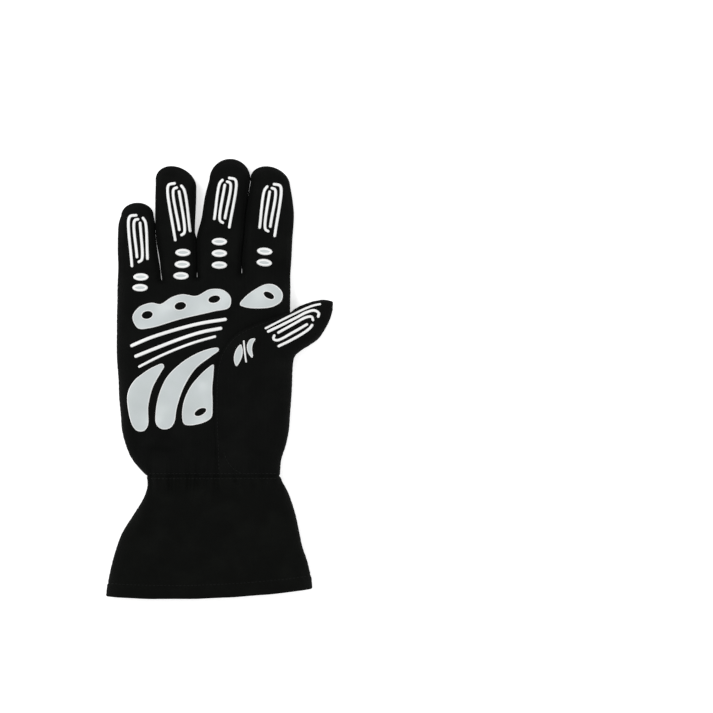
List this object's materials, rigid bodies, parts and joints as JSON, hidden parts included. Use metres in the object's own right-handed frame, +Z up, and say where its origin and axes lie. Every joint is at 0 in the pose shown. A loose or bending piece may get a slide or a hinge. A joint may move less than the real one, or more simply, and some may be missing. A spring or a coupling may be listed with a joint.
{
  "type": "racing glove",
  "caption": "Gauntlet racing glove for the right hand, lying palm up, with a flared cuff, gathered wrist and raised silicone grips on palm and fingers.",
  "frame": {"origin": "middle of the glove's outline, on the surface that it lies on", "axes": "+Y along the glove towards the fingertips, +X across it towards the thumb, +Z up, out of the palm"},
  "size_m": [0.1491, 0.289, 0.0181],
  "materials": {
    "hand_cloth": "matt black knitted cloth",
    "fourchette_cloth": "matt black knitted cloth",
    "cuff_cloth": "matt black cloth with a folded hem",
    "silicone": "satin pale grey printed silicone"
  },
  "bodies": {
    "root": {"palm_panel": "hand_cloth", "back_panel": "hand_cloth", "thumb_panel": "hand_cloth", "thumb_back": "hand_cloth", "fourchette_little_ring": "fourchette_cloth", "fourchette_ring_middle": "fourchette_cloth", "fourchette_middle_index": "fourchette_cloth", "cuff_palm_panel": "cuff_cloth", "cuff_back_panel": "cuff_cloth", "grip_thumb_lens_outer": "silicone", "grip_thumb_lens_middle": "silicone", "grip_thumb_lens_inner": "silicone", "grip_teardrop": "silicone", "grip_knuckle_bar": "silicone", "grip_stripe_1": "silicone", "grip_stripe_2": "silicone", "grip_stripe_3": "silicone", "grip_flame_outer": "silicone", "grip_flame_middle": "silicone", "grip_flame_inner": "silicone", "grip_little_stroke_1": "silicone", "grip_little_stroke_2": "silicone", "grip_little_stroke_3": "silicone", "grip_little_stroke_4": "silicone", "grip_little_oval_1": "silicone", "grip_little_oval_2": "silicone", "grip_ring_stroke_1": "silicone", "grip_ring_stroke_2": "silicone", "grip_ring_stroke_3": "silicone", "grip_ring_stroke_4": "silicone", "grip_ring_oval_1": "silicone", "grip_ring_oval_2": "silicone", "grip_ring_oval_3": "silicone", "grip_middle_stroke_1": "silicone", "grip_middle_stroke_2": "silicone", "grip_middle_stroke_3": "silicone", "grip_middle_stroke_4": "silicone", "grip_middle_oval_1": "silicone", "grip_middle_oval_2": "silicone", "grip_middle_oval_3": "silicone", "grip_index_stroke_1": "silicone", "grip_index_stroke_2": "silicone", "grip_index_stroke_3": "silicone", "grip_index_stroke_4": "silicone", "grip_index_oval_1": "silicone", "grip_index_oval_2": "silicone", "grip_thumb_stroke_1": "silicone", "grip_thumb_stroke_2": "silicone", "grip_thumb_stroke_3": "silicone", "grip_thumb_stroke_4": "silicone", "grip_thumb_stroke_5": "silicone"}
  },
  "joints": []
}
